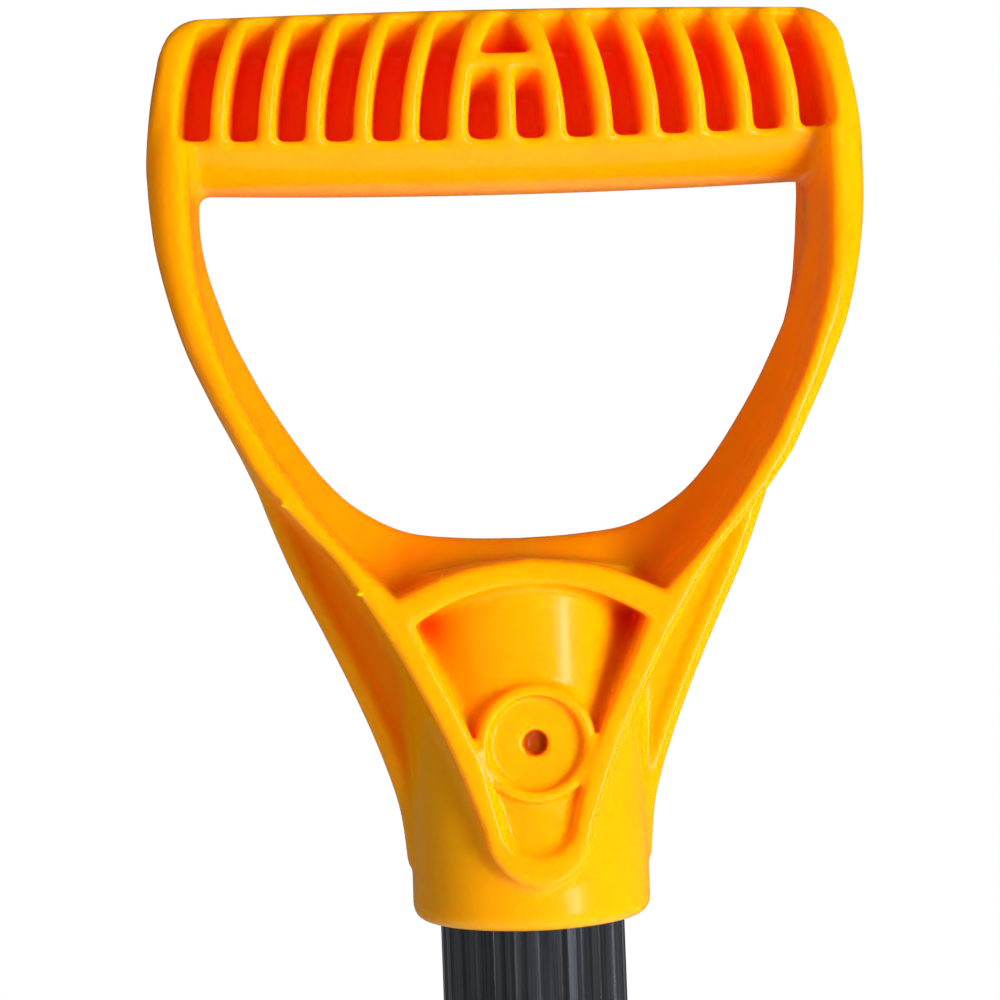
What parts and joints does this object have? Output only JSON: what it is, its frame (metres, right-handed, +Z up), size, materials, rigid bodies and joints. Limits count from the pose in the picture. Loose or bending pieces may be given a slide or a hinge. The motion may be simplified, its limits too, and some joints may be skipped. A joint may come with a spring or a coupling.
{
  "type": "avalanche shovel",
  "caption": "Telescoping avalanche shovel: orange moulded D grip with a slotted cross bar on a fluted dark shaft, snap-button locks and a detachable aluminium scoop blade.",
  "frame": {"origin": "bottom centre of the bounding box, under the blade's digging edge", "axes": "+Z up the shaft to the grip, -Y towards the scoop's hollow side, +X to the right seen from that side"},
  "size_m": [0.2294, 0.0728, 0.8285],
  "materials": {
    "grip_plastic": "glossy injection-moulded polypropylene",
    "dark_anodised": "dark grey anodised, fine drawn lines",
    "blade_aluminium": "satin, scuffed towards the digging edge",
    "socket_aluminium": "satin extruded",
    "rivet_aluminium": "bright",
    "steel": "zinc plated",
    "spring_steel": "stainless strip",
    "black_plastic": "fine texture",
    "natural_plastic": "natural nylon"
  },
  "bodies": {
    "blade": {"blade": "blade_aluminium", "blade_socket": "socket_aluminium", "socket_rivets": "rivet_aluminium", "socket_stop_pin": "steel"},
    "lower_shaft": {"lower_tube": "dark_anodised", "lower_tube_plug": "black_plastic", "guide_collar": "black_plastic", "guide_liner": "natural_plastic", "guide_screw": "steel"},
    "lower_button": {"lower_snap_button": "spring_steel"},
    "upper_shaft": {"upper_tube": "dark_anodised", "upper_tube_glide": "black_plastic", "shaft_core_plug": "natural_plastic", "d_grip": "grip_plastic", "grip_screw": "steel", "grip_washer": "steel"},
    "upper_button": {"upper_snap_button": "spring_steel"}
  },
  "joints": [
    {"name": "blade_release", "type": "slide", "parent": "blade", "child": "lower_shaft", "axis": [0, 0, 1], "range_m": [0, 0.1]},
    {"name": "telescope", "type": "slide", "parent": "lower_shaft", "child": "upper_shaft", "axis": [0, 0, 1], "range_m": [-0.165, 0]},
    {"name": "lower_button_press", "type": "slide", "parent": "lower_shaft", "child": "lower_button", "axis": [0, -1, 0], "range_m": [0, 0.0056], "stiffness_N_per_m": 2000, "springref_m": -0.001, "deforming": ["lower_snap_button"]},
    {"name": "upper_button_press", "type": "slide", "parent": "upper_shaft", "child": "upper_button", "axis": [0, -1, 0], "range_m": [0, 0.0048], "stiffness_N_per_m": 2000, "springref_m": -0.001, "deforming": ["upper_snap_button"]}
  ]
}
